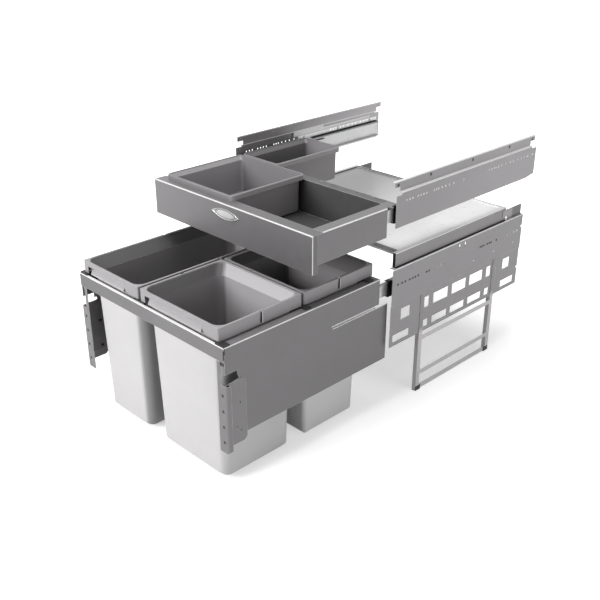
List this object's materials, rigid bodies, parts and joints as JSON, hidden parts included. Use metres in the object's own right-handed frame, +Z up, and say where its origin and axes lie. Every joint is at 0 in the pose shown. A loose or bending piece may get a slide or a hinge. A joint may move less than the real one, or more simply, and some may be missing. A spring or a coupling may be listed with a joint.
{
  "type": "pull-out waste cabinet unit",
  "caption": "Pull-out waste unit for a base cabinet: bins in a sliding frame with door brackets, a shallow drawer with containers above and a fixed lid between.",
  "frame": {"origin": "on the cabinet floor, midway between the side walls, in the plane of the lower side plates' front edges", "axes": "+X to the right seen from the front, +Y into the cabinet, +Z up; the drawer and the bins are stored pulled out along -Y"},
  "size_m": [0.564, 1.105, 0.602],
  "materials": {
    "grey_steel": "satin",
    "lid_steel": "satin",
    "zinc_steel": "satin",
    "black_plastic": "matt",
    "black_screws": "satin",
    "bin_plastic": "matt",
    "rim_plastic": "matt",
    "container_plastic": "matt",
    "badge": "polished"
  },
  "bodies": {
    "cabinet_fittings": {"lower_plate_left": "grey_steel", "lower_plate_right": "grey_steel", "upper_plate_left": "grey_steel", "upper_plate_right": "grey_steel", "leg_frame_left": "grey_steel", "leg_frame_right": "grey_steel", "leg_feet": "black_plastic", "lid_pan": "lid_steel", "lid_rail_left": "grey_steel", "lid_rail_right": "grey_steel", "lid_bracket_left": "zinc_steel", "lid_bracket_right": "zinc_steel", "lid_screws": "zinc_steel", "bin_cabinet_runner_left": "zinc_steel", "bin_cabinet_runner_right": "zinc_steel", "bin_runner_screws": "zinc_steel", "drawer_standoff_left": "zinc_steel", "drawer_standoff_right": "zinc_steel", "drawer_standoff_screws": "zinc_steel", "drawer_cabinet_runner_left": "zinc_steel", "drawer_cabinet_runner_right": "zinc_steel"},
    "bin_frame": {"bin_slide_left": "zinc_steel", "bin_slide_right": "zinc_steel", "front_rail": "grey_steel", "side_panel_left": "grey_steel", "side_panel_right": "grey_steel", "side_rail_left": "grey_steel", "side_rail_right": "grey_steel", "corner_block_left": "black_plastic", "corner_block_right": "black_plastic", "rear_member": "grey_steel", "bin_rests": "black_plastic", "door_bracket_left": "grey_steel", "door_bracket_right": "grey_steel", "door_bracket_screws": "black_screws", "bin_left": "bin_plastic", "bin_front_right": "bin_plastic", "bin_rear_right": "bin_plastic", "bin_rim_left": "rim_plastic", "bin_rim_front_right": "rim_plastic", "bin_rim_rear_right": "rim_plastic"},
    "bin_middle_members": {"bin_middle_runner_left": "zinc_steel", "bin_middle_runner_right": "zinc_steel"},
    "bin_outer_rows": {"bin_outer_balls": "zinc_steel"},
    "bin_inner_rows": {"bin_inner_balls": "zinc_steel"},
    "drawer": {"drawer_slide_left": "zinc_steel", "drawer_slide_right": "zinc_steel", "drawer_front": "grey_steel", "drawer_side_left": "grey_steel", "drawer_side_right": "grey_steel", "drawer_pan": "grey_steel", "drawer_badge": "badge", "container_carrier": "grey_steel", "container_front": "container_plastic", "container_rear": "container_plastic"},
    "drawer_middle_members": {"drawer_middle_runner_left": "zinc_steel", "drawer_middle_runner_right": "zinc_steel"},
    "drawer_outer_rows": {"drawer_outer_balls": "zinc_steel"},
    "drawer_inner_rows": {"drawer_inner_balls": "zinc_steel"}
  },
  "joints": [
    {"name": "bins_pull", "type": "slide", "parent": "cabinet_fittings", "child": "bin_frame", "axis": [0, -1, 0], "range_m": [-0.497, 0]},
    {"name": "bin_middle_slide", "type": "slide", "parent": "cabinet_fittings", "child": "bin_middle_members", "axis": [0, -1, 0], "range_m": [-0.2485, 0]},
    {"name": "bin_outer_row_slide", "type": "slide", "parent": "cabinet_fittings", "child": "bin_outer_rows", "axis": [0, -1, 0], "range_m": [-0.12425, 0]},
    {"name": "bin_inner_row_slide", "type": "slide", "parent": "cabinet_fittings", "child": "bin_inner_rows", "axis": [0, -1, 0], "range_m": [-0.37275, 0]},
    {"name": "drawer_pull", "type": "slide", "parent": "cabinet_fittings", "child": "drawer", "axis": [0, -1, 0], "range_m": [-0.25, 0.24]},
    {"name": "drawer_middle_slide", "type": "slide", "parent": "cabinet_fittings", "child": "drawer_middle_members", "axis": [0, -1, 0], "range_m": [-0.125, 0.12]},
    {"name": "drawer_outer_row_slide", "type": "slide", "parent": "cabinet_fittings", "child": "drawer_outer_rows", "axis": [0, -1, 0], "range_m": [-0.0625, 0.06]},
    {"name": "drawer_inner_row_slide", "type": "slide", "parent": "cabinet_fittings", "child": "drawer_inner_rows", "axis": [0, -1, 0], "range_m": [-0.1875, 0.18]}
  ],
  "couplings": [
    {"joint": "bin_middle_slide", "follows": "bins_pull", "ratio": 0.5},
    {"joint": "bin_outer_row_slide", "follows": "bins_pull", "ratio": 0.25},
    {"joint": "bin_inner_row_slide", "follows": "bins_pull", "ratio": 0.75},
    {"joint": "drawer_middle_slide", "follows": "drawer_pull", "ratio": 0.5},
    {"joint": "drawer_outer_row_slide", "follows": "drawer_pull", "ratio": 0.25},
    {"joint": "drawer_inner_row_slide", "follows": "drawer_pull", "ratio": 0.75}
  ]
}
